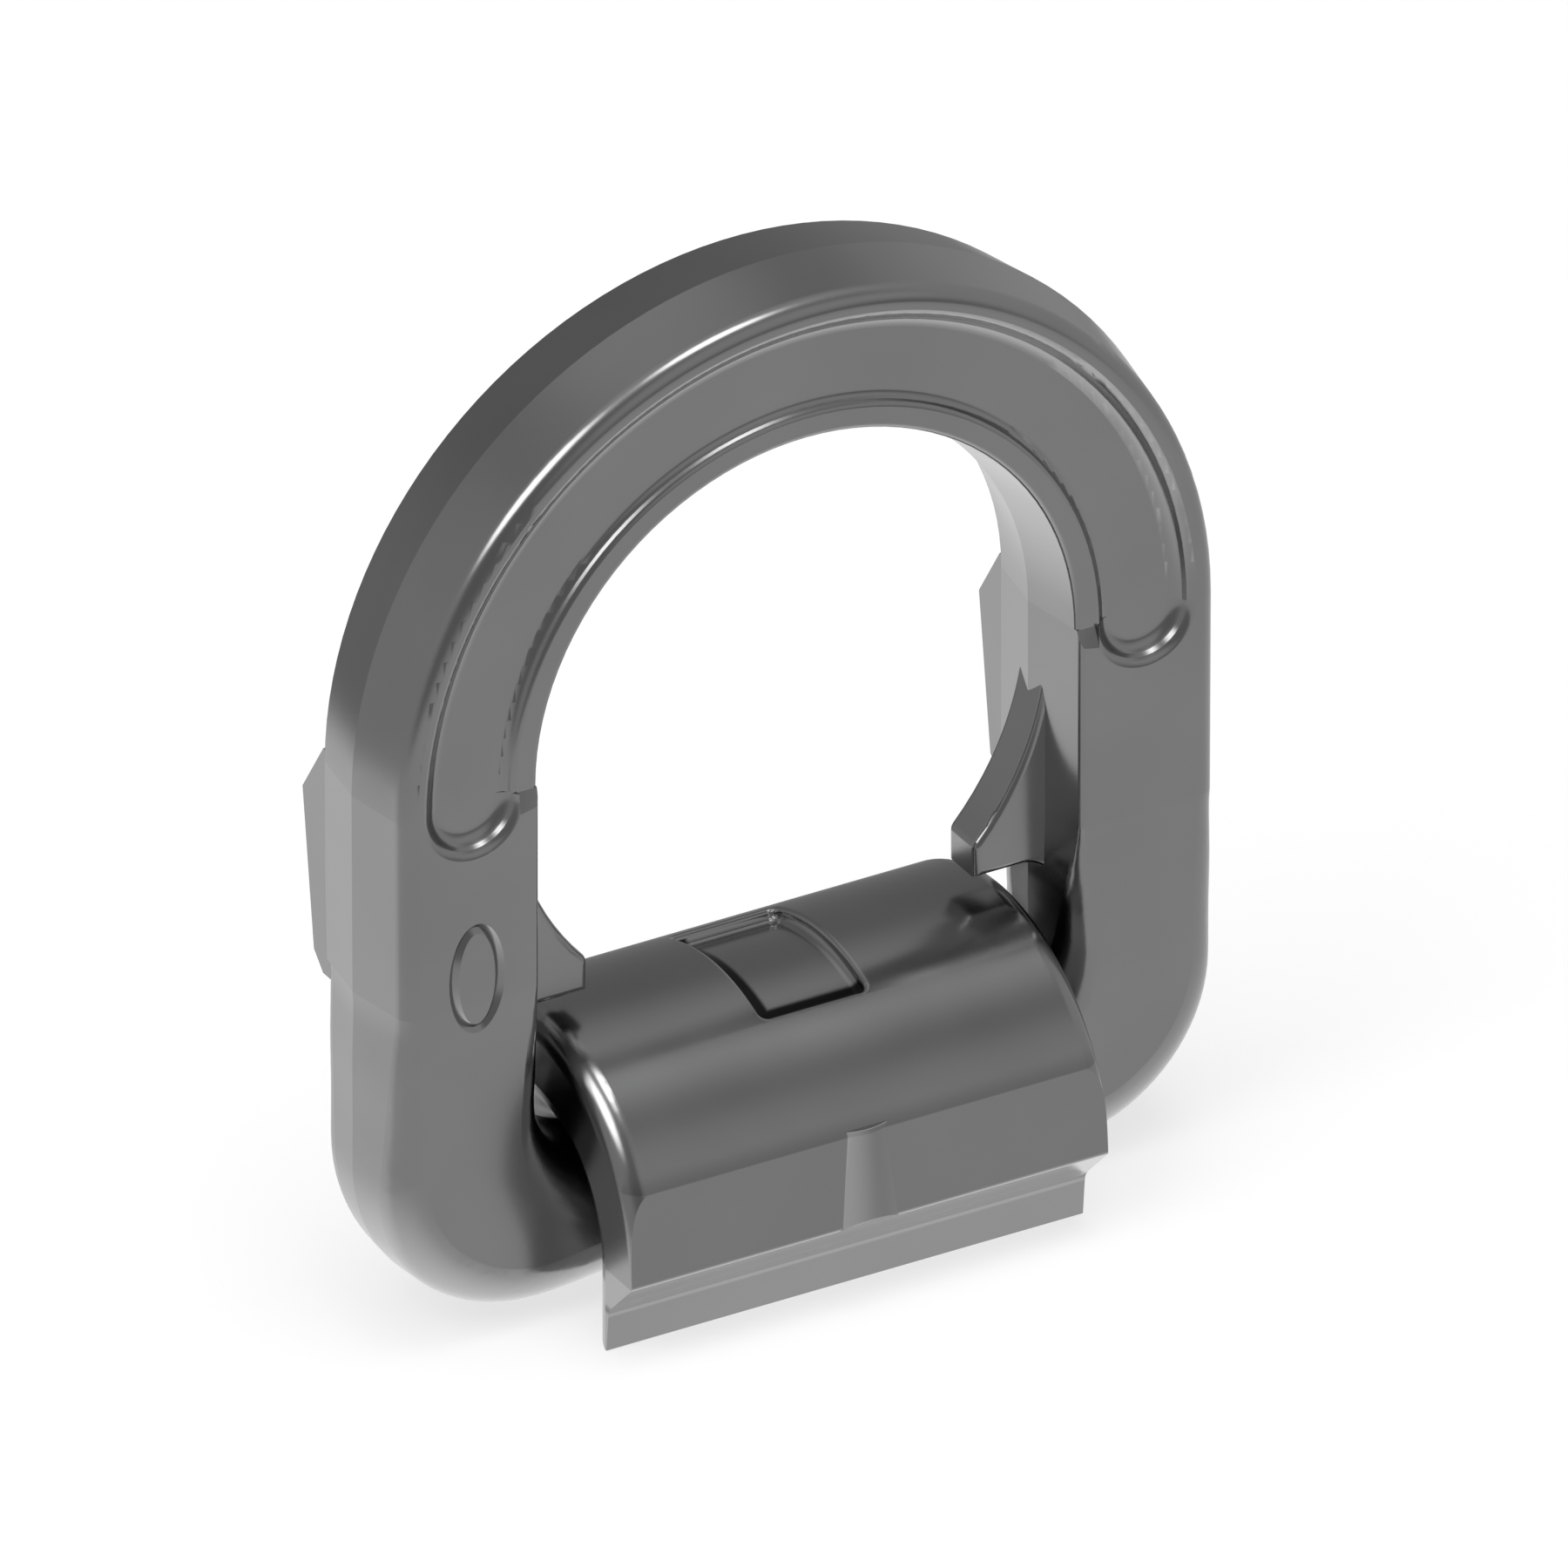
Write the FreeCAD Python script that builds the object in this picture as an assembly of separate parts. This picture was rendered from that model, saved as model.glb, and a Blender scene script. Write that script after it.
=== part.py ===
import FreeCAD, Part
import math
import os

# Weld-on lashing point: a forged D-ring folding in a forged saddle that is welded to a deck.
# Frame in mm: origin on the deck under the middle of the bar, +X along the bar,
# -Y the marked front, +Z up. The ring stands upright as modelled.

# Ring, measured on the die parting plane Y = 0
EYE_WIDTH = 80.0            # clear width between the two inner parting ridges
LEG_WIDTH = 24.2            # ridge to ridge across a leg
FRONT_DEPTH = 11.2          # parting plane to the front face
BACK_DEPTH = 10.35          # parting plane to the back face
BAR_DIAMETER = 20.7
FORGING_DRAFT = 8.8         # degrees, both ways from the parting plane
ARCH_CENTRE_Z = 83.2
OUTER_EDGE_ROUND = 2.6      # front edges
INNER_EDGE_ROUND = 0.8
BACK_EDGE_CUT = 0.6         # the back edges are only broken
LEG_TAPER = 0.3             # degrees, outer side of each leg
CORNER_TOP_Z = 53.0         # the straight leg ends here
OUTER_CORNER_RADIUS = 25.0
INNER_CORNER_RADIUS = 13.0
LOWER_BACK_ROUND = 3.2      # back edges below the pads
CORNER_SECTIONS = 10
BAR_JOIN = 2.5              # length of round bar that the corner piece brings
BAR_DECK_GAP = 1.15
RIM_DROP = 0.9              # the arch's inner rim lies this much below the front face
RAMP_INNER_HEIGHT = 1.8     # ramp from the rim up to the leg's face, at the eye
RAMP_OUTER_HEIGHT = 3.0     # and beside the recess

# Recess for the size stamp round the front of the arch
RECESS_MID_RADIUS = 51.7
RECESS_WIDTH = 16.2         # at the face
RECESS_DEPTH = 2.3
RECESS_WALL_DRAFT = 35.0    # degrees
RECESS_FLOOR_ROUND = 2.4
RECESS_EDGE_ROUND = 1.7

# Inspection oval on the left leg
OVAL_X = -51.3
OVAL_Z = 56.9
OVAL_WIDTH = 7.1
OVAL_HEIGHT = 15.3
OVAL_GROOVE = 1.5
OVAL_DEPTH = 0.6

# Thickened pads on the back of the legs
PAD_BOTTOM_Z = 50.3
PAD_LOW_Z = 53.6
PAD_HIGH_Z = 75.7
PAD_TOP_Z = 84.9
PAD_LOW_RISE = 3.15         # over the back face at PAD_LOW_Z
PAD_HIGH_RISE = 6.0         # over the back face at PAD_HIGH_Z

# Horns inside the lower legs
HORN_THICKNESS = 7.2
HORN_REACH = 10.2           # tip to the inner parting ridge
HORN_FLANK_RADIUS = 42.0    # hollow flank
HORN_FLANK_TOP_Z = 78.5     # the flank runs out into the leg here
HORN_FLANK_TOP_IN = 1.0     # that far inside the inner parting ridge
HORN_UNDERSIDE_Z = 45.0
HORN_ROOT_RADIUS = 4.6
HORN_TIP_ROUND = 1.5
HORN_EDGE_ROUND = 1.0

# Weld-on saddle
BLOCK_LENGTH = 73.4
CROWN_RADIUS = 30.2
CROWN_END_ROUND = 3.3
FLAT_HALF_WIDTH = 27.2      # at the foot of the flat
FLAT_BOTTOM_Z = 12.6
FLAT_LEAN = 3.2             # degrees
FOOT_HALF_WIDTH = 20.4
BEVEL_ANGLE = 45.0          # weld preparation
BEVEL_ROOT_RADIUS = 3.0
BEVEL_EDGE_ROUND = 0.8
BAR_CLEARANCE = 0.55        # bar to channel, radial
MOUTH_RADIUS = 12.7
MOUTH_DEPTH = 12.2          # along the bar, from each end

# Centre mark ribs on the flats
RIB_WIDTH = 8.3
RIB_RISE = 1.1              # over the lower edge of the flat
RIB_LEAN = 6.4              # degrees: the rib leans back more than the flat and narrows
RIB_TOP_STEP = 0.7          # over the upper edge of the flat

# Stamp pocket in the crown
POCKET_WIDTH = 16.2
POCKET_HALF_ANGLE = 24.6    # degrees either side of the crest
POCKET_DEPTH = 2.0
POCKET_EDGE_ROUND = 0.7
POCKET_FLOOR_ROUND = 1.2

# Clamping spring in the roof of the channel
SPRING_THICKNESS = 1.2
SPRING_WIDTH = 14.0
SPRING_LIFT = 1.5           # the bowed middle over the two pressing waves
SPRING_WAVE_ANGLE = 46.0    # degrees from the crest to a wave
SPRING_END_ANGLE = 70.0
SPRING_BAR_GAP = 0.1
SPRING_SEAT_GAP = 0.25      # pocket to spring, at its ends and edges


def vec(x, y, z):
    return FreeCAD.Vector(x, y, z)


X_AXIS = vec(1, 0, 0)
Y_AXIS = vec(0, 1, 0)
Z_AXIS = vec(0, 0, 1)

bar_radius = BAR_DIAMETER / 2
bar_z = BAR_DECK_GAP + bar_radius
pivot = vec(0, 0, bar_z)
draft = math.tan(math.radians(FORGING_DRAFT))
inner_ridge = EYE_WIDTH / 2
outer_ridge = inner_ridge + LEG_WIDTH
leg_mid = inner_ridge + LEG_WIDTH / 2
half_block = BLOCK_LENGTH / 2
channel_radius = bar_radius + BAR_CLEARANCE
EDGE_ROUNDS = (OUTER_EDGE_ROUND, INNER_EDGE_ROUND, -BACK_EDGE_CUT)


def outline(points, radii, place):
    """Closed wire through 2-D points. Each corner has a radius, or a straight cut if negative."""
    count = len(points)
    entry, middle, leave = [], [], []
    for i in range(count):
        px, py = points[i]
        ax, ay = points[i - 1]
        bx, by = points[(i + 1) % count]
        la = math.hypot(ax - px, ay - py)
        lb = math.hypot(bx - px, by - py)
        ua = ((ax - px) / la, (ay - py) / la)
        ub = ((bx - px) / lb, (by - py) / lb)
        half = math.acos(max(-1.0, min(1.0, ua[0] * ub[0] + ua[1] * ub[1]))) / 2
        r = radii[i]
        t = r / math.tan(half) if r > 0 else -r
        entry.append((px + ua[0] * t, py + ua[1] * t))
        leave.append((px + ub[0] * t, py + ub[1] * t))
        bisector = (ua[0] + ub[0], ua[1] + ub[1])
        reach = (r / math.sin(half) - r) / math.hypot(*bisector) if r > 0 else 0.0
        middle.append((px + bisector[0] * reach, py + bisector[1] * reach))
    edges = []
    for i in range(count):
        j = (i + 1) % count
        if math.dist(leave[i], entry[j]) > 1e-6:
            edges.append(Part.makeLine(place(*leave[i]), place(*entry[j])))
        if radii[j] > 0:
            arc = Part.Arc(place(*entry[j]), place(*middle[j]), place(*leave[j]))
            edges.append(arc.toShape())
        if radii[j] < 0:
            edges.append(Part.makeLine(place(*entry[j]), place(*leave[j])))
    return Part.Wire(edges)


def prism(wire, direction):
    return Part.Face(wire).extrude(direction)


def ring_section(centre, outward, half_width, rounds, blend=0.0):
    """Forged section: flat front and back, drafted sides that meet in a parting ridge.

    The rounds are those of the front's outer, the front's inner and both back edges.
    The blend takes the section's depths and draft towards those of the round bar.
    """
    front = FRONT_DEPTH + (bar_radius - FRONT_DEPTH) * blend
    back = BACK_DEPTH + (bar_radius - BACK_DEPTH) * blend
    lean = draft * (1 - blend)
    points = [
        (half_width, 0.0),
        (half_width - back * lean, back),
        (back * lean - half_width, back),
        (-half_width, 0.0),
        (front * lean - half_width, -front),
        (half_width - front * lean, -front),
    ]
    outer, inner, rear = rounds

    def place(a, y):
        return centre + outward * a + Y_AXIS * y

    return outline(points, [0, rear, rear, 0, inner, outer], place)


def bar_section(centre, outward):
    """The bar's circle, cut into as many edges as a ring section has."""
    stops = [0, 6, 84, 96, 174, 180, 186, 264, 276, 354, 360]

    def at(deg):
        a = math.radians(deg)
        return centre + outward * (bar_radius * math.cos(a)) + Y_AXIS * (bar_radius * math.sin(a))

    edges = []
    for a, b in zip(stops[:-1], stops[1:]):
        edges.append(Part.Arc(at(a), at((a + b) / 2), at(b)).toShape())
    return Part.Wire(edges)


def arch():
    """Half a turn of the forged section, its inner rim a step below the front face."""
    half = LEG_WIDTH / 2
    rim = FRONT_DEPTH - RIM_DROP
    step = RECESS_MID_RADIUS - leg_mid - RECESS_WIDTH / 3
    points = [
        (half, 0.0),
        (half - BACK_DEPTH * draft, BACK_DEPTH),
        (BACK_DEPTH * draft - half, BACK_DEPTH),
        (-half, 0.0),
        (rim * draft - half, -rim),
        (step, -rim),
        (step, -FRONT_DEPTH),
        (half - FRONT_DEPTH * draft, -FRONT_DEPTH),
    ]
    radii = [0, -BACK_EDGE_CUT, -BACK_EDGE_CUT, 0, INNER_EDGE_ROUND, 0, 0, OUTER_EDGE_ROUND]
    wire = outline(points, radii, lambda a, y: vec(leg_mid + a, y, ARCH_CENTRE_Z))
    return Part.Face(wire).revolve(vec(0, 0, ARCH_CENTRE_Z), vec(0, -1, 0), 180)


def leg_outer(z):
    """Outer parting ridge of a leg at height z."""
    return outer_ridge - (ARCH_CENTRE_Z - z) * math.tan(math.radians(LEG_TAPER))


def leg():
    wires = []
    for z in (ARCH_CENTRE_Z, CORNER_TOP_Z):
        mid = (inner_ridge + leg_outer(z)) / 2
        half = (leg_outer(z) - inner_ridge) / 2
        wires.append(ring_section(vec(mid, 0, z), X_AXIS, half, EDGE_ROUNDS))
    return Part.makeLoft(wires, True, True)


def ridge_point(share, top_x, radius, bottom_z):
    """Point on a parting ridge, at a share of its way from leg to bar, round the corner."""
    centre_x = top_x - radius
    centre_z = bottom_z + radius
    straight = CORNER_TOP_Z - centre_z
    turn = radius * math.pi / 2
    bar_end = inner_ridge - INNER_CORNER_RADIUS
    way = share * (straight + turn + centre_x - bar_end)
    if way < straight:
        return vec(top_x, 0, CORNER_TOP_Z - way)
    if way > straight + turn:
        return vec(centre_x - (way - straight - turn), 0, bottom_z)
    a = (way - straight) / radius
    return vec(centre_x + radius * math.cos(a), 0, centre_z - radius * math.sin(a))


def corner():
    """Leg to bar: the section turns through a right angle and from forged flat to round."""
    sections = CORNER_SECTIONS
    top_x = leg_outer(CORNER_TOP_Z)
    full = bar_radius * 0.94
    wires = []
    for i in range(sections):
        share = i / sections
        po = ridge_point(share, top_x, OUTER_CORNER_RADIUS, BAR_DECK_GAP)
        pi = ridge_point(share, inner_ridge, INNER_CORNER_RADIUS, bar_z + bar_radius)
        start = (OUTER_EDGE_ROUND, INNER_EDGE_ROUND, LOWER_BACK_ROUND)
        rounds = [r + (full - r) * share for r in start]
        span = po - pi
        outward = vec(span.x, 0, span.z).normalize()
        wires.append(ring_section((po + pi) / 2, outward, span.Length / 2, rounds, share))
    end = inner_ridge - INNER_CORNER_RADIUS
    for x in (end, end - BAR_JOIN):
        wires.append(bar_section(vec(x, 0, bar_z), vec(0, 0, -1)))
    return Part.makeLoft(wires, True, False)


def bar():
    end = inner_ridge - INNER_CORNER_RADIUS - BAR_JOIN
    return Part.makeCylinder(bar_radius, 2 * end, vec(-end, 0, bar_z), X_AXIS)


def pad():
    """Pad on the back of the right leg, its sides flush with the leg's back edges."""
    low = BACK_DEPTH + PAD_LOW_RISE
    high = BACK_DEPTH + PAD_HIGH_RISE
    side = [
        (0.0, PAD_BOTTOM_Z),
        (BACK_DEPTH, PAD_BOTTOM_Z),
        (low, PAD_LOW_Z),
        (high, PAD_HIGH_Z),
        (BACK_DEPTH, PAD_TOP_Z),
        (0.0, PAD_TOP_Z),
    ]
    profile = outline(side, [0, 0, 1.2, 2.0, 0, 0], lambda y, z: vec(0, y, z))
    slab = prism(profile, vec(outer_ridge + 5, 0, 0))
    inner = inner_ridge + BACK_DEPTH * draft
    outer = outer_ridge - BACK_DEPTH * draft
    cut = BACK_EDGE_CUT
    wires = []
    for z in (PAD_BOTTOM_Z - 1, PAD_TOP_Z + 1):
        y = low + (z - PAD_LOW_Z) * (high - low) / (PAD_HIGH_Z - PAD_LOW_Z)
        points = [(inner, 0.0), (inner, y), (outer, y), (outer, 0.0)]
        wires.append(outline(points, [0, -cut, -cut, 0], lambda x, yy, z=z: vec(x, yy, z)))
    return Part.makeLoft(wires, True, True).common(slab)


def horn():
    """Horn of the right leg: a thin fin on the parting plane, its flank a hollow arc."""
    tip_x = inner_ridge - HORN_REACH
    root_x = inner_ridge + 5.0
    foot = HORN_UNDERSIDE_Z
    flank_top = (inner_ridge + HORN_FLANK_TOP_IN, HORN_FLANK_TOP_Z)
    flank_c = (flank_top[0] - HORN_FLANK_RADIUS, HORN_FLANK_TOP_Z)

    def at(x, z):
        return vec(x, -HORN_THICKNESS / 2, z)

    def on_circle(centre, radius, angle):
        return at(centre[0] + radius * math.cos(angle), centre[1] - radius * math.sin(angle))

    nose_x = tip_x + HORN_TIP_ROUND
    apart = HORN_FLANK_RADIUS + HORN_TIP_ROUND
    turn = math.acos((nose_x - flank_c[0]) / apart)
    nose = (nose_x, flank_c[1] - apart * math.sin(turn))
    flank = Part.Arc(
        at(*flank_top),
        on_circle(flank_c, HORN_FLANK_RADIUS, turn / 2),
        on_circle(flank_c, HORN_FLANK_RADIUS, turn),
    )
    tip = Part.Arc(
        on_circle(nose, HORN_TIP_ROUND, turn + math.pi),
        on_circle(nose, HORN_TIP_ROUND, turn / 2 + math.pi),
        on_circle(nose, HORN_TIP_ROUND, math.pi),
    )
    heel = HORN_ROOT_RADIUS * (1 - math.sqrt(0.5))
    leg_face = inner_ridge + FRONT_DEPTH * draft
    root = Part.Arc(
        at(leg_face - HORN_ROOT_RADIUS, foot),
        at(leg_face - heel, foot - heel),
        at(leg_face, foot - HORN_ROOT_RADIUS),
    )
    low = foot - HORN_ROOT_RADIUS
    wire = Part.Wire([
        flank.toShape(),
        tip.toShape(),
        Part.makeLine(at(tip_x, nose[1]), at(tip_x, foot)),
        Part.makeLine(at(tip_x, foot), at(leg_face - HORN_ROOT_RADIUS, foot)),
        root.toShape(),
        Part.makeLine(at(leg_face, low), at(root_x, low)),
        Part.makeLine(at(root_x, low), at(root_x, HORN_FLANK_TOP_Z)),
        Part.makeLine(at(root_x, HORN_FLANK_TOP_Z), at(*flank_top)),
    ])
    fin = prism(wire, vec(0, HORN_THICKNESS, 0))
    edges = []
    for e in fin.Edges:
        box = e.BoundBox
        if box.YLength < 0.01 and box.XMin < inner_ridge and box.ZLength > 0.1:
            edges.append(e)
    return fin.makeFillet(HORN_EDGE_ROUND, edges)


def groove_outline(half_width, depth, slope, rounds, place, drop=0.0):
    """Section of a groove that is cut from a face, with its edges and floor rounded.

    The cutter stops a hair above the face. On the negative side the face lies lower by drop,
    and the rounds are smaller in proportion.
    """
    over = 0.02
    rise = 3.0
    edge_round, floor_round = rounds
    less = (depth - drop) / depth
    top = half_width - edge_round * math.tan(math.radians(45) - math.atan(slope) / 2)
    floor = top - depth * slope
    wide = half_width + 3.0
    points = [
        (-floor, depth),
        (floor, depth),
        (top, 0.0),
        (wide, 0.0),
        (wide, -rise),
        (-wide, -rise),
        (-wide, drop),
        (drop * slope - top, drop),
    ]
    radii = [floor_round * less, floor_round, edge_round, 0, 0, 0, 0, edge_round * less]
    return outline(points, radii, lambda a, d: place(a, d - over))


def recess():
    """Cutter: half a turn round the arch, with a round end on each leg."""
    slope = math.tan(math.radians(RECESS_WALL_DRAFT))
    rounds = (RECESS_EDGE_ROUND, RECESS_FLOOR_ROUND)

    def place(a, d):
        return vec(RECESS_MID_RADIUS + a, d - FRONT_DEPTH, ARCH_CENTRE_Z)

    def section(drop):
        return groove_outline(RECESS_WIDTH / 2, RECESS_DEPTH, slope, rounds, place, drop)

    band = Part.Face(section(RIM_DROP)).revolve(vec(0, 0, ARCH_CENTRE_Z), vec(0, -1, 0), 180)
    middle = vec(RECESS_MID_RADIUS, 0, ARCH_CENTRE_Z)
    outer_half = Part.makeBox(20, 40, 2, middle - vec(0, 20, 1))
    end = Part.Face(section(0.0)).common(outer_half).Faces[0].revolve(middle, Y_AXIS, 180)
    return band.fuse([end, end.mirror(vec(0, 0, 0), X_AXIS)])


def rim_ramp():
    """Cutter: the short ramp from the arch's inner rim up to the right leg's full face."""
    wires = []
    clear = 1.0
    ends = (
        (inner_ridge - 1.0, RAMP_INNER_HEIGHT),
        (RECESS_MID_RADIUS - RECESS_WIDTH / 2 + 1.0, RAMP_OUTER_HEIGHT),
    )
    for x, height in ends:
        corners = [
            vec(x, RIM_DROP - FRONT_DEPTH, ARCH_CENTRE_Z),
            vec(x, -FRONT_DEPTH - clear, ARCH_CENTRE_Z),
            vec(x, -FRONT_DEPTH - clear, ARCH_CENTRE_Z - height * (1 + clear / RIM_DROP)),
        ]
        wires.append(Part.makePolygon(corners + corners[:1]))
    return Part.makeLoft(wires, True, True)


def oval_groove():
    """V-shaped groove round the inspection field of the left leg."""
    def ellipse(grow, depth):
        centre = vec(OVAL_X, depth - FRONT_DEPTH, OVAL_Z)
        tall = centre + Z_AXIS * (OVAL_HEIGHT / 2 + grow)
        wide = centre + X_AXIS * (OVAL_WIDTH / 2 + grow)
        return Part.Wire([Part.Ellipse(tall, wide, centre).toShape()])

    gain = OVAL_GROOVE / 2 / OVAL_DEPTH
    above = 0.5
    valley = ellipse(0.0, OVAL_DEPTH)
    outer = Part.makeLoft([ellipse(gain * (OVAL_DEPTH + above), -above), valley], True, True)
    inner = Part.makeLoft([ellipse(-gain * (OVAL_DEPTH + above), -above), valley], True, True)
    return outer.cut(inner)


def lashing_ring():
    right = leg().fuse([corner(), pad(), horn()])
    body = arch().fuse([right, right.mirror(vec(0, 0, 0), X_AXIS), bar()])
    body = body.removeSplitter()
    ramp = rim_ramp()
    for tool in (recess(), ramp, ramp.mirror(vec(0, 0, 0), X_AXIS), oval_groove()):
        body = body.cut(tool)
    return body


def channel():
    """Room for the bar: open downwards, with mouths that flare on a large radius."""
    sweep = math.asin(MOUTH_DEPTH / MOUTH_RADIUS)
    bend = half_block - MOUTH_DEPTH + MOUTH_RADIUS * math.tan(sweep / 2)
    rise = 12.0
    far = bend + rise / math.tan(sweep)
    wide = channel_radius + rise
    side = [(-far, wide), (-bend, channel_radius), (bend, channel_radius), (far, wide)]
    radii = [0, MOUTH_RADIUS, MOUTH_RADIUS, 0]

    def place(x, y):
        return vec(x, y, bar_z)

    half = outline(side + [(far, 0), (-far, 0)], radii + [0, 0], place)
    slot = outline(side + [(-x, -y) for x, y in side], radii * 2, place)
    return Part.Face(half).revolve(pivot, X_AXIS, 180).fuse(prism(slot, vec(0, 0, -bar_z - 5)))


def flat_y(z):
    """Half width of the saddle on its leaning flat at height z."""
    return FLAT_HALF_WIDTH - (z - FLAT_BOTTOM_Z) * math.tan(math.radians(FLAT_LEAN))


def flat_top_z():
    """Height where the flat meets the crown."""
    lo, hi = bar_z, bar_z + CROWN_RADIUS
    for _ in range(60):
        mid = (lo + hi) / 2
        if math.hypot(flat_y(mid), mid - bar_z) < CROWN_RADIUS:
            lo = mid
        else:
            hi = mid
    return lo


def spring_line(offset):
    """Wavy centre line of the clamping spring, moved out by offset."""
    base = bar_radius + SPRING_BAR_GAP + SPRING_THICKNESS / 2 + offset
    points = []
    steps = 14
    for i in range(-steps, steps + 1):
        deg = SPRING_END_ANGLE * i / steps
        wave = math.cos(math.radians(180 * deg / SPRING_WAVE_ANGLE))
        radius = base + SPRING_LIFT * (1 + wave) / 2
        a = math.radians(deg)
        points.append(vec(0, radius * math.sin(a), bar_z + radius * math.cos(a)))
    return points


def clamp_spring():
    """Leaf of spring steel: its middle bears on the saddle, its waves on the bar."""
    outer = Part.BSplineCurve()
    outer.interpolate(spring_line(SPRING_THICKNESS / 2))
    inner = Part.BSplineCurve()
    inner.interpolate(spring_line(-SPRING_THICKNESS / 2))
    po = spring_line(SPRING_THICKNESS / 2)
    pi = spring_line(-SPRING_THICKNESS / 2)
    wire = Part.Wire([
        outer.toShape(),
        Part.makeLine(po[-1], pi[-1]),
        inner.toShape(),
        Part.makeLine(pi[0], po[0]),
    ])
    body = prism(wire, vec(SPRING_WIDTH, 0, 0))
    body.translate(vec(-SPRING_WIDTH / 2, 0, 0))
    return body


def spring_seat():
    """Pocket in the channel's roof that holds the spring by its middle and edges."""
    radius = bar_radius + SPRING_BAR_GAP + SPRING_THICKNESS + SPRING_LIFT
    width = SPRING_WIDTH + 2 * SPRING_SEAT_GAP
    angle = SPRING_END_ANGLE + math.degrees(SPRING_SEAT_GAP / radius)
    disc = Part.makeCylinder(radius, width, pivot - X_AXIS * (width / 2), X_AXIS, 2 * angle)
    disc.rotate(pivot, X_AXIS, -angle)
    mid = disc.CenterOfMass - pivot
    turn = math.degrees(math.atan2(mid.y, mid.z))
    disc.rotate(pivot, X_AXIS, turn)
    return disc


def crown_pocket():
    """Cutter: shallow pocket across the crest, its floor parallel to the crown."""
    half = POCKET_WIDTH / 2
    corners = [(-half, CROWN_RADIUS + 4), (half, CROWN_RADIUS + 4)]
    corners += [(half, CROWN_RADIUS - POCKET_DEPTH), (-half, CROWN_RADIUS - POCKET_DEPTH)]
    wire = outline(corners, [0] * 4, lambda x, r: vec(x, 0, bar_z + r))
    wire.rotate(pivot, X_AXIS, -POCKET_HALF_ANGLE)
    block = Part.Face(wire).revolve(pivot, X_AXIS, 2 * POCKET_HALF_ANGLE)
    low, upright = [], []
    for e in block.Edges:
        reach = [math.hypot(v.Y, v.Z - bar_z) for v in e.Vertexes]
        if max(reach) < CROWN_RADIUS:
            low.append(e)
        elif max(reach) - min(reach) > 1:
            upright.append(e)
    return block.makeFillet(POCKET_FLOOR_ROUND, low + upright)


def round_pocket_mouth(body):
    """Round the edges where the pocket opens in the crown."""
    mouth = []
    for e in body.Edges:
        box = e.BoundBox
        reach = [math.hypot(v.Y, v.Z - bar_z) for v in e.Vertexes]
        inside = max(abs(box.XMin), abs(box.XMax)) < POCKET_WIDTH / 2 + 0.1
        if inside and min(reach) > CROWN_RADIUS - 0.05 and box.ZMin > flat_top_z() + 3:
            mouth.append(e)
    return body.makeFillet(POCKET_EDGE_ROUND, mouth)


def rib():
    """Centre mark on the front flat: a low round rib that dies out upwards."""
    radius = (RIB_WIDTH ** 2 / 4 + RIB_RISE ** 2) / (2 * RIB_RISE)
    centre = vec(0, radius - FLAT_HALF_WIDTH - RIB_RISE, FLAT_BOTTOM_Z)
    round_bar = Part.makeCylinder(radius, 60, centre - Z_AXIS * 30, Z_AXIS)
    round_bar.rotate(centre, X_AXIS, -RIB_LEAN)
    keep = Part.makeBox(60, 40, flat_top_z() + RIB_TOP_STEP, vec(-30, -40, 0))
    return round_bar.common(keep)


def foot_profile(grow):
    """Side profile below the crown: foot, weld bevel and flat, both sides."""
    slope = math.tan(math.radians(90 - BEVEL_ANGLE))
    flat = FLAT_HALF_WIDTH + grow
    root_y = FOOT_HALF_WIDTH + 0.6
    root_z = FLAT_BOTTOM_Z - (FLAT_HALF_WIDTH - root_y) * slope
    bottom_z = root_z + (flat - root_y) * slope
    high = bar_z + CROWN_RADIUS + 10
    lean = math.tan(math.radians(FLAT_LEAN))
    right = [
        (FOOT_HALF_WIDTH, 0.0),
        (root_y, root_z),
        (flat, bottom_z),
        (flat - (high - bottom_z) * lean, high),
    ]
    radii = [0, BEVEL_ROOT_RADIUS, BEVEL_EDGE_ROUND, 0]
    points = right + [(-y, z) for y, z in reversed(right)]
    return outline(points, radii + list(reversed(radii)), lambda y, z: vec(-half_block, y, z))


def saddle_hull():
    """The crown's full round, its ends rounded over."""
    r = CROWN_END_ROUND
    profile = [
        (-half_block, 0.0),
        (half_block, 0.0),
        (half_block, CROWN_RADIUS),
        (-half_block, CROWN_RADIUS),
    ]
    wire = outline(profile, [0, 0, r, r], lambda x, y: vec(x, y, bar_z))
    return Part.Face(wire).revolve(pivot, X_AXIS, 360)


def weld_block():
    front = rib()
    ribs = front.fuse(front.mirror(vec(0, 0, 0), Y_AXIS))
    foot = prism(foot_profile(0.0), vec(BLOCK_LENGTH, 0, 0))
    grown = prism(foot_profile(RIB_RISE + 0.5), vec(BLOCK_LENGTH, 0, 0))
    body = saddle_hull().common(foot)
    body = body.fuse(ribs.common(grown)).removeSplitter()
    body = body.cut(crown_pocket())
    body = round_pocket_mouth(body)
    body = body.cut(channel())
    return body.cut(spring_seat())


def save(shape, name):
    solid = shape.Solids[0]
    solid.exportStep("parts/" + name + ".step")


os.makedirs("parts", exist_ok=True)
save(lashing_ring(), "lashing_ring")
save(weld_block(), "weld_block")
save(clamp_spring(), "clamp_spring")
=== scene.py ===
import math

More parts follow.
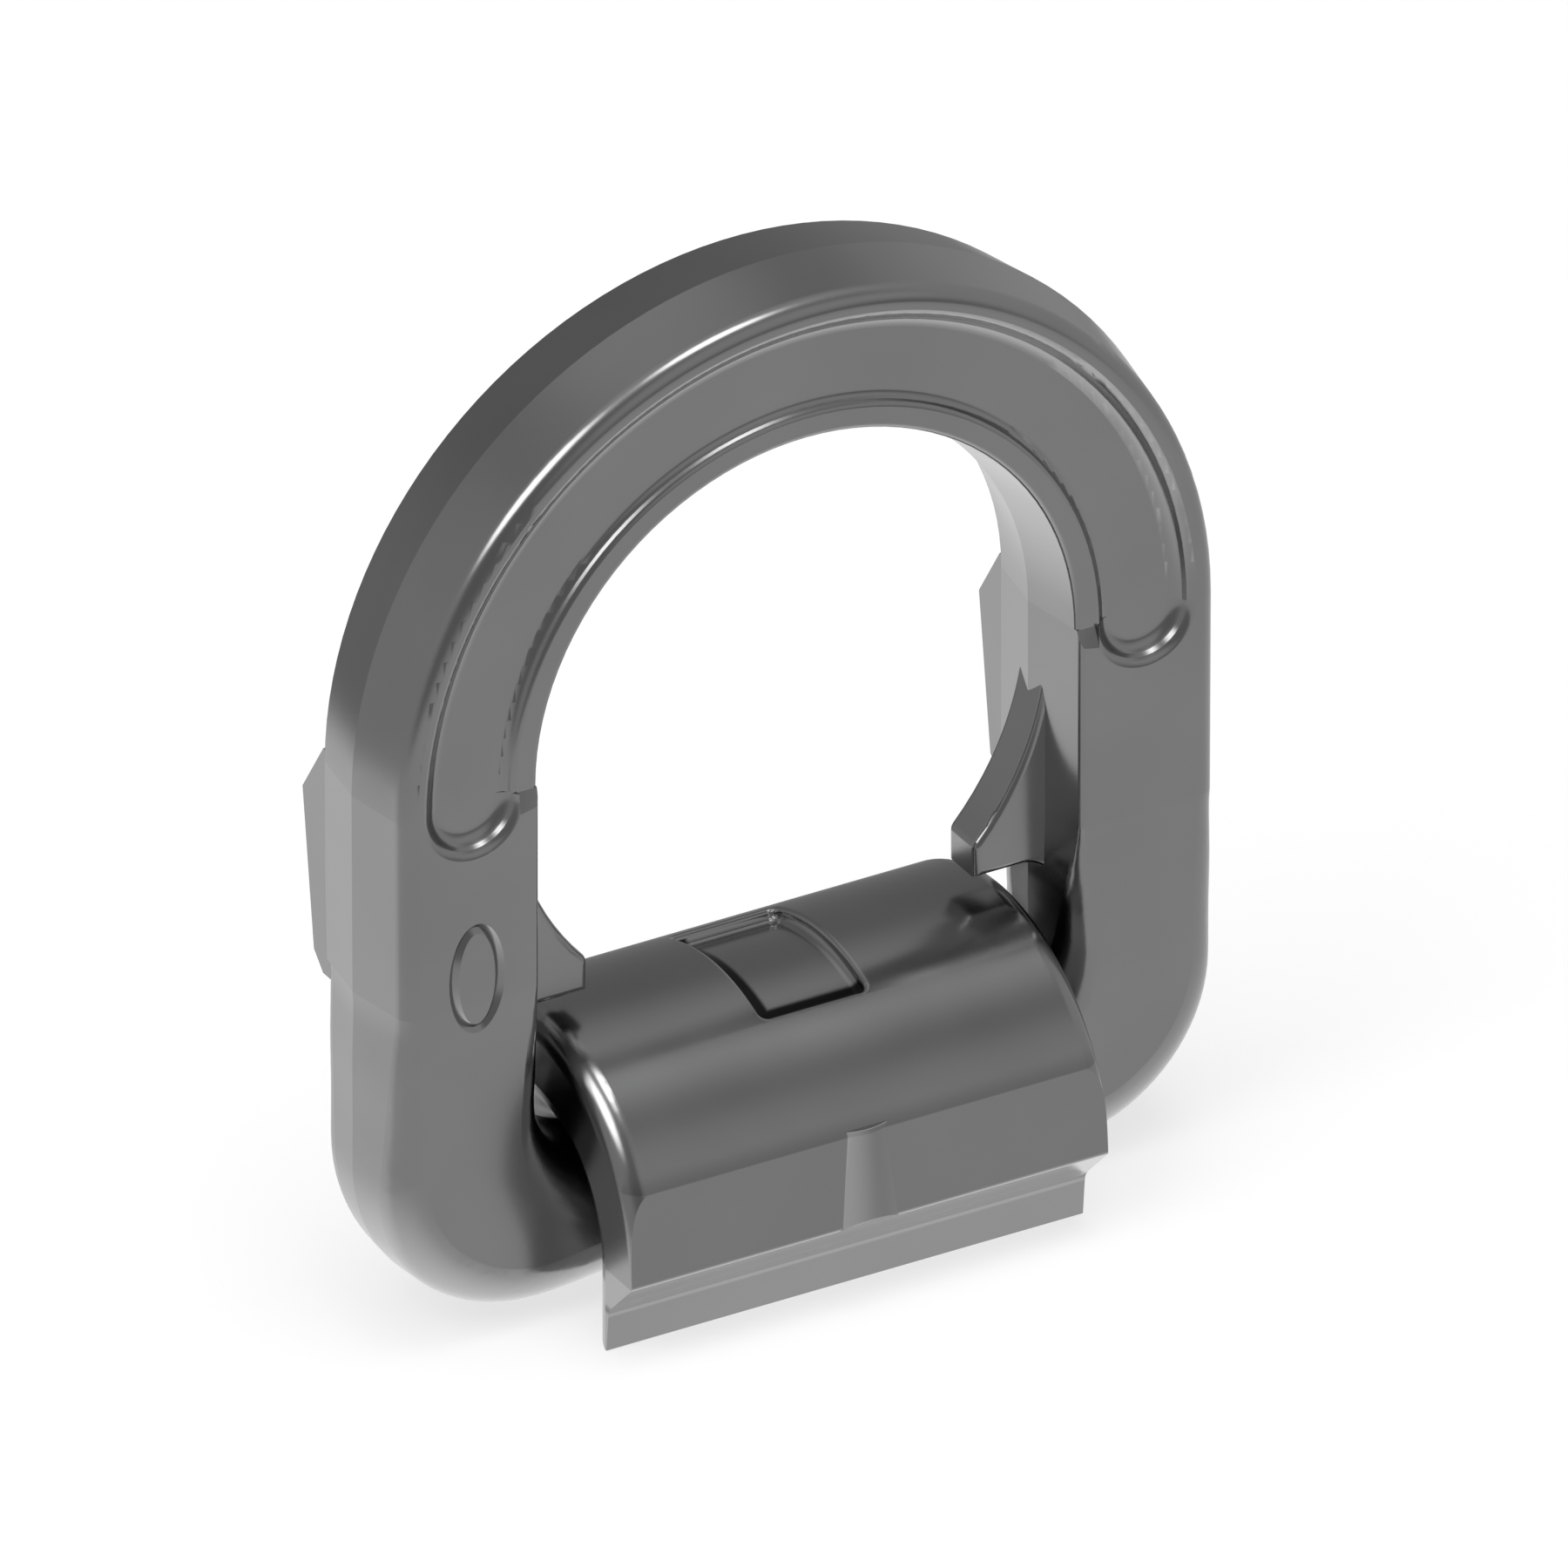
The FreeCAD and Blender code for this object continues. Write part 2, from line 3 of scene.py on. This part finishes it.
import bpy
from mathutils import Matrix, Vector

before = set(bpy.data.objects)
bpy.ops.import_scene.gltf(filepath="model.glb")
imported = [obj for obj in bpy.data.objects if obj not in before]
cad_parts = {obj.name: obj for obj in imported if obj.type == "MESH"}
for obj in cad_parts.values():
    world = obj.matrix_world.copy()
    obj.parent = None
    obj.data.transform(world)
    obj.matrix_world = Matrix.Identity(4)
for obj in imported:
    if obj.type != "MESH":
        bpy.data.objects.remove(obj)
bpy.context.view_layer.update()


class Graph:
    """The node tree of a material or a world, with short names for the few node kinds used here."""

    def __init__(self, owner):
        owner.use_nodes = True
        self.nodes, self.links = owner.node_tree.nodes, owner.node_tree.links

    def plug(self, socket, value):
        if isinstance(value, bpy.types.NodeSocket):
            self.links.new(value, socket)
        else:
            socket.default_value = value

    def math(self, operation, a, b=0.0):
        node = self.nodes.new("ShaderNodeMath")
        node.operation = operation
        self.plug(node.inputs[0], a)
        self.plug(node.inputs[1], b)
        return node.outputs[0]

    def product(self, first, *others):
        for factor in others:
            first = self.math("MULTIPLY", first, factor)
        return first

    def fade(self, value, low, high, start=0.0, end=1.0):
        """Soft step from start to end while a value goes from low to high, or down from a larger low."""
        node = self.nodes.new("ShaderNodeMapRange")
        node.interpolation_type = "SMOOTHSTEP"
        self.plug(node.inputs["Value"], value)
        settings = {"From Min": low, "From Max": high, "To Min": start, "To Max": end}
        for name, number in settings.items():
            node.inputs[name].default_value = number
        return node.outputs["Result"]

    def within(self, value, low, high, margin):
        """One between two limits, fading to nought over a margin outside them."""
        return self.product(self.fade(value, low - margin, low), self.fade(value, high + margin, high))

    def vector(self, operation, a, b, result="Vector"):
        node = self.nodes.new("ShaderNodeVectorMath")
        node.operation = operation
        self.plug(node.inputs[0], a)
        self.plug(node.inputs[1], b)
        return node.outputs[result]

    def dot(self, a, b):
        return self.vector("DOT_PRODUCT", a, b, "Value")

    def noise(self, place, scale, detail=2.0):
        node = self.nodes.new("ShaderNodeTexNoise")
        self.plug(node.inputs["Vector"], place)
        node.inputs["Scale"].default_value = scale
        node.inputs["Detail"].default_value = detail
        return node.outputs["Fac"]

    def is_camera_ray(self):
        return self.nodes.new("ShaderNodeLightPath").outputs["Is Camera Ray"]


# Painted light and shade on the saddle: its sizes as it is built, in metres

BAR_Z = 0.0115                  # the crown is round about the bar
CROWN_RADIUS = 0.0302
FOOT_HALF_WIDTH = 0.0204
ROOT_Z = 0.0064                 # the foot turns into the weld bevel
FLAT_BOTTOM_Z = 0.0126
FLAT_TOP_Z = 0.02607            # the flat meets the crown
RIB_HALF_WIDTH = 0.00415        # at the bottom of the flat
RIB_TAPER = 0.085               # lost per height, on either side
RIB_TOP_Z = FLAT_TOP_Z + 0.0007
POCKET_HALF_WIDTH = 0.0081
POCKET_HALF_ANGLE = math.radians(24.6)
POCKET_DEPTH = 0.0020

# How much painted light or shade brightens or darkens each place, as a share of the base tone, and how
# far that reaches

SHARP = 0.0002                  # a sharp limit still fades over this much
# Painted light on the feet and bevels, and painted shade in the round between them
FOOT_LIFT, BEVEL_LIFT = 0.25, 0.33
ROOT_DIP, ROOT_BELOW, ROOT_ABOVE = 0.60, 0.0008, 0.0010
# Painted highlight on the ribs
RIB_SIDE_LIFT, RIB_TOP_LIFT = 0.7, 1.1
# Painted shade on the crown near its seam with the flats
SEAM_DIP, SEAM_REACH = 0.24, 0.0026
SEAM_INNER, SEAM_OUTER = 0.0235, 0.0245     # half widths that keep it off the saddle's ends
# Painted shade in the pocket
POCKET_SHADE_DIP, POCKET_SHADE_WIDTH, POCKET_SHADE_EDGE = 0.93, 0.0021, 0.0008


def painted_foot_light(g, outside, z):
    """Painted light brightens the feet and weld bevels, and painted shade darkens the round between
    them.
    """
    foot = g.fade(outside, FOOT_HALF_WIDTH - 3 * SHARP, FOOT_HALF_WIDTH - SHARP)
    under = g.fade(z, FLAT_BOTTOM_Z, FLAT_BOTTOM_Z - SHARP)
    root_start = g.fade(z, ROOT_Z - ROOT_BELOW, ROOT_Z - SHARP / 2)
    root_end = g.fade(z, ROOT_Z + ROOT_ABOVE, ROOT_Z + SHARP / 2)
    lift = g.fade(z, ROOT_Z - ROOT_BELOW / 2, ROOT_Z + 1.4 * ROOT_ABOVE, FOOT_LIFT, BEVEL_LIFT)
    lift = g.math("SUBTRACT", lift, g.product(root_start, root_end, ROOT_DIP))
    return g.product(foot, under, lift)


def painted_rib_highlight(g, x, outside, z):
    """Painted highlight along one side of each rib and on its top."""
    half_width_at_deck = RIB_HALF_WIDTH + RIB_TAPER * FLAT_BOTTOM_Z
    half_width = g.math("SUBTRACT", half_width_at_deck, g.product(z, RIB_TAPER))
    across = g.math("DIVIDE", x, half_width)        # from -1 at one side of the rib to 1 at the other
    above = g.fade(z, FLAT_BOTTOM_Z, FLAT_BOTTOM_Z + SHARP)
    side = g.product(g.fade(across, 0.5, -1.0), g.fade(across, -1.03, -0.99), above, RIB_SIDE_LIFT)
    top = g.product(g.fade(z, RIB_TOP_Z - SHARP / 2, RIB_TOP_Z - SHARP / 4), RIB_TOP_LIFT)
    crown_half_width = math.sqrt(CROWN_RADIUS ** 2 - (RIB_TOP_Z - BAR_Z) ** 2)
    rib = g.product(
        g.fade(outside, crown_half_width, crown_half_width + SHARP / 2),
        g.fade(z, RIB_TOP_Z + SHARP / 2, RIB_TOP_Z + SHARP / 4),
        g.fade(g.math("ABSOLUTE", across), 1.08, 1.03),
    )
    return g.product(g.math("MAXIMUM", side, top), rib)


def painted_seam_shade(g, outside, z):
    """Painted shade darkens the crown towards its seam with the flats."""
    start = g.fade(z, FLAT_TOP_Z - SHARP / 2, FLAT_TOP_Z + SHARP / 2)
    fall = g.fade(z, FLAT_TOP_Z + SEAM_REACH, FLAT_TOP_Z)
    return g.product(start, fall, g.fade(outside, SEAM_INNER, SEAM_OUTER), SEAM_DIP)


def painted_pocket_shade(g, x, y, z):
    """Painted shade lies in the stamped pocket, along its left and front edges."""
    arc_radius = CROWN_RADIUS - 0.6 * POCKET_DEPTH
    floor_radius = CROWN_RADIUS - POCKET_DEPTH
    rise = g.math("SUBTRACT", z, BAR_Z)
    radius = g.math("SQRT", g.math("ADD", g.product(y, y), g.product(rise, rise)))
    angle = g.math("ARCTAN2", y, rise)
    from_left = g.math("ADD", x, POCKET_HALF_WIDTH)
    from_front = g.product(g.math("ADD", angle, POCKET_HALF_ANGLE), arc_radius)
    nearest = g.math("MINIMUM", from_left, from_front)
    return g.product(
        g.fade(nearest, POCKET_SHADE_WIDTH + POCKET_SHADE_EDGE, POCKET_SHADE_WIDTH),
        g.within(from_left, 0.0, 2 * POCKET_HALF_WIDTH, SHARP),
        g.within(from_front, 0.0, 2 * POCKET_HALF_ANGLE * arc_radius, SHARP),
        g.within(radius, floor_radius - 0.0007, floor_radius + 0.0011, SHARP),
        POCKET_SHADE_DIP,
    )


def saddle_painted_light(g, place):
    """Factor of painted light and shade on the saddle's base tone."""
    split = g.nodes.new("ShaderNodeSeparateXYZ")
    g.plug(split.inputs[0], place)
    x, y, z = split.outputs
    outside = g.math("ABSOLUTE", y)
    lift = g.math("ADD", painted_foot_light(g, outside, z), painted_rib_highlight(g, x, outside, z))
    tone = g.math("SUBTRACT", g.math("ADD", lift, 1.0), painted_seam_shade(g, outside, z))
    return g.product(tone, g.math("SUBTRACT", 1.0, painted_pocket_shade(g, x, y, z)))


# Steel

CLOUD_SCALE, GRAIN_SCALE = 40.0, 1200.0
CLOUD_LOW, CLOUD_HIGH = 0.2, 0.8
TONE_SPREAD = 0.04              # of the base tone
ROUGH_SPREAD = 0.02
GRAIN_HEIGHT, GRAIN_STRENGTH = 0.0002, 0.015


def steel(name, base, rough, seed, painted_light=None):
    """Satin forged steel: soft cloudy tone, uneven polish and a fine blasted grain."""
    mat = bpy.data.materials.new(name)
    g = Graph(mat)
    bsdf = g.nodes["Principled BSDF"]
    bsdf.inputs["Metallic"].default_value = 1.0
    place = g.nodes.new("ShaderNodeTexCoord").outputs["Object"]
    shifted = g.vector("ADD", place, (seed, seed * 0.7, seed * 0.3))

    cloud = g.noise(shifted, CLOUD_SCALE)
    tone = g.fade(cloud, CLOUD_LOW, CLOUD_HIGH, base * (1 - TONE_SPREAD), base * (1 + TONE_SPREAD))
    polish = g.fade(cloud, CLOUD_LOW, CLOUD_HIGH, rough - ROUGH_SPREAD, rough + ROUGH_SPREAD)
    # Painted light and shade from the given factor, when there is one
    if painted_light:
        tone = g.product(tone, painted_light(g, place))
    grey = g.nodes.new("ShaderNodeCombineColor")
    for socket in grey.inputs[:3]:
        g.plug(socket, tone)
    g.plug(bsdf.inputs["Base Color"], grey.outputs["Color"])
    g.plug(bsdf.inputs["Roughness"], polish)

    bump = g.nodes.new("ShaderNodeBump")
    bump.inputs["Strength"].default_value = GRAIN_STRENGTH
    bump.inputs["Distance"].default_value = GRAIN_HEIGHT
    g.plug(bump.inputs["Height"], g.noise(shifted, GRAIN_SCALE))
    g.plug(bsdf.inputs["Normal"], bump.outputs["Normal"])
    return mat


def assign(node, mat):
    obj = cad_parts[node]
    if not obj.data.materials:
        obj.data.materials.append(mat)
    for slot in obj.material_slots:
        slot.link = "OBJECT"
        slot.material = mat


assign("lashing_ring", steel("ring_steel", 0.30, 0.20, 1.3))
# The saddle's steel carries painted light and shade
assign("weld_block", steel("block_steel", 0.295, 0.20, 4.1, saddle_painted_light))
assign("clamp_spring", steel("spring_steel", 0.18, 0.22, 7.7))


# Studio: white to the camera, while the metal mirrors a grey room with soft panels and a bright floor

ROOM = 0.25
PANELS = {
    # direction, inner and outer half angle in degrees, brightness over the room
    "right wall": ((0.99, 0.03, 0.12), 32, 61, 0.27),
    "left wall": ((-0.95, 0.29, 0.04), 20, 60, 0.21),
    "lamp overhead": ((0.07, -0.12, 0.99), 7, 17, 4.0),
    "lamp at the upper left": ((-0.67, -0.15, 0.73), 10, 22, 3.8),
    "ceiling": ((0.00, 0.11, 0.99), 6, 48, 0.36),
    "front wall": ((0.27, -0.85, 0.46), 7, 36, 0.29),
}
FLOOR_GLOW = (0.055, 0.19, -1.37)           # how the floor's level grows towards a direction
FLOOR_LEAST = 0.61
CORNER_GLOW = ((-0.55, 0.62, -0.50), 8, 40, 0.20)   # the floor's far left, over its own level
HORIZON = ((0, -0.10, -1), 0.27, 0.37)      # direction, and where the floor starts and is full


def panel(g, looking, direction, inner, outer, brightness):
    """Soft-edged round panel in a given direction."""
    reach = g.dot(looking, Vector(direction).normalized())
    edges = math.cos(math.radians(outer)), math.cos(math.radians(inner))
    return g.fade(reach, *edges, 0.0, brightness)


def studio_world():
    world = bpy.data.worlds.new("studio")
    g = Graph(world)
    looking = g.nodes.new("ShaderNodeTexCoord").outputs["Generated"]
    room = ROOM
    for settings in PANELS.values():
        room = g.math("ADD", room, panel(g, looking, *settings))
    floor_level = g.math("MAXIMUM", g.dot(looking, FLOOR_GLOW), FLOOR_LEAST)
    floor_level = g.math("ADD", floor_level, panel(g, looking, *CORNER_GLOW))
    downwards, start, full = HORIZON
    below = g.fade(g.dot(looking, downwards), start, full)
    room = g.math("ADD", room, g.product(below, g.math("SUBTRACT", floor_level, room)))
    white = g.product(g.is_camera_ray(), g.math("SUBTRACT", 1.0, room))
    g.plug(g.nodes["Background"].inputs["Color"], g.math("ADD", room, white))
    return world


def area_light(name, place, target, size, power):
    """Soft box aimed at the part; it lights the floor and isn't mirrored in the metal."""
    data = bpy.data.lights.new(name, "AREA")
    data.size = size
    data.energy = power
    obj = bpy.data.objects.new(name, data)
    obj.location = place
    obj.rotation_euler = (Vector(target) - Vector(place)).to_track_quat("-Z", "Y").to_euler()
    obj.visible_glossy = False
    bpy.context.collection.objects.link(obj)


bpy.context.scene.world = studio_world()
area_light("overhead", (-0.25, -0.35, 1.2), (0, 0, 0.06), 1.2, 8.0)


# Floor: pale and matt, and washed out towards white for the camera, so its shadow stays faint

FLOOR_HALF = 4.0
FLOOR_DROP = 0.0002             # clear of the saddle's feet
FLOOR_TONE, FLOOR_ROUGH = 0.9, 0.9
WASH = 0.7


def pale_floor_material():
    mat = bpy.data.materials.new("floor_pale")
    g = Graph(mat)
    matt = g.nodes["Principled BSDF"]
    matt.inputs["Base Color"].default_value = (FLOOR_TONE, FLOOR_TONE, FLOOR_TONE, 1)
    matt.inputs["Roughness"].default_value = FLOOR_ROUGH
    wash = g.nodes.new("ShaderNodeEmission")
    blend = g.nodes.new("ShaderNodeMixShader")
    g.plug(blend.inputs[0], g.product(g.is_camera_ray(), WASH))
    g.plug(blend.inputs[1], matt.outputs["BSDF"])
    g.plug(blend.inputs[2], wash.outputs["Emission"])
    g.plug(g.nodes["Material Output"].inputs["Surface"], blend.outputs["Shader"])
    return mat


floor_data = bpy.data.meshes.new("floor")
corners = [(x * FLOOR_HALF, y * FLOOR_HALF, 0) for x, y in ((-1, -1), (1, -1), (1, 1), (-1, 1))]
floor_data.from_pydata(corners, [], [(0, 1, 2, 3)])
floor_data.materials.append(pale_floor_material())
floor = bpy.data.objects.new("floor", floor_data)
floor.location.z = -FLOOR_DROP
floor.visible_glossy = False
bpy.context.collection.objects.link(floor)


# Camera: an orthographic view from the front left, 30 degrees down

FRAME_PIXELS = 1800
PIXELS_PER_M = 8605.0
ORIGIN_PIXEL = (881.9, 1395.6)      # where the frame's origin falls in the photograph
AZIMUTH, ELEVATION = math.radians(-30), math.radians(30)
CAMERA_DISTANCE = 2.0

right = Vector((math.cos(AZIMUTH), math.sin(AZIMUTH), 0))
toward = Vector((
    math.sin(AZIMUTH) * math.cos(ELEVATION),
    -math.cos(AZIMUTH) * math.cos(ELEVATION),
    math.sin(ELEVATION),
))
upward = toward.cross(right)
middle = FRAME_PIXELS / 2
centre = right * ((middle - ORIGIN_PIXEL[0]) / PIXELS_PER_M)
centre += upward * ((ORIGIN_PIXEL[1] - middle) / PIXELS_PER_M)
cam_data = bpy.data.cameras.new("camera")
cam_data.type = "ORTHO"
cam_data.ortho_scale = FRAME_PIXELS / PIXELS_PER_M
cam = bpy.data.objects.new("camera", cam_data)
cam.location = centre + toward * CAMERA_DISTANCE
cam.rotation_euler = (-toward).to_track_quat("-Z", "Y").to_euler()
bpy.context.collection.objects.link(cam)
bpy.context.scene.camera = cam
bpy.context.scene.view_settings.view_transform = "Standard"
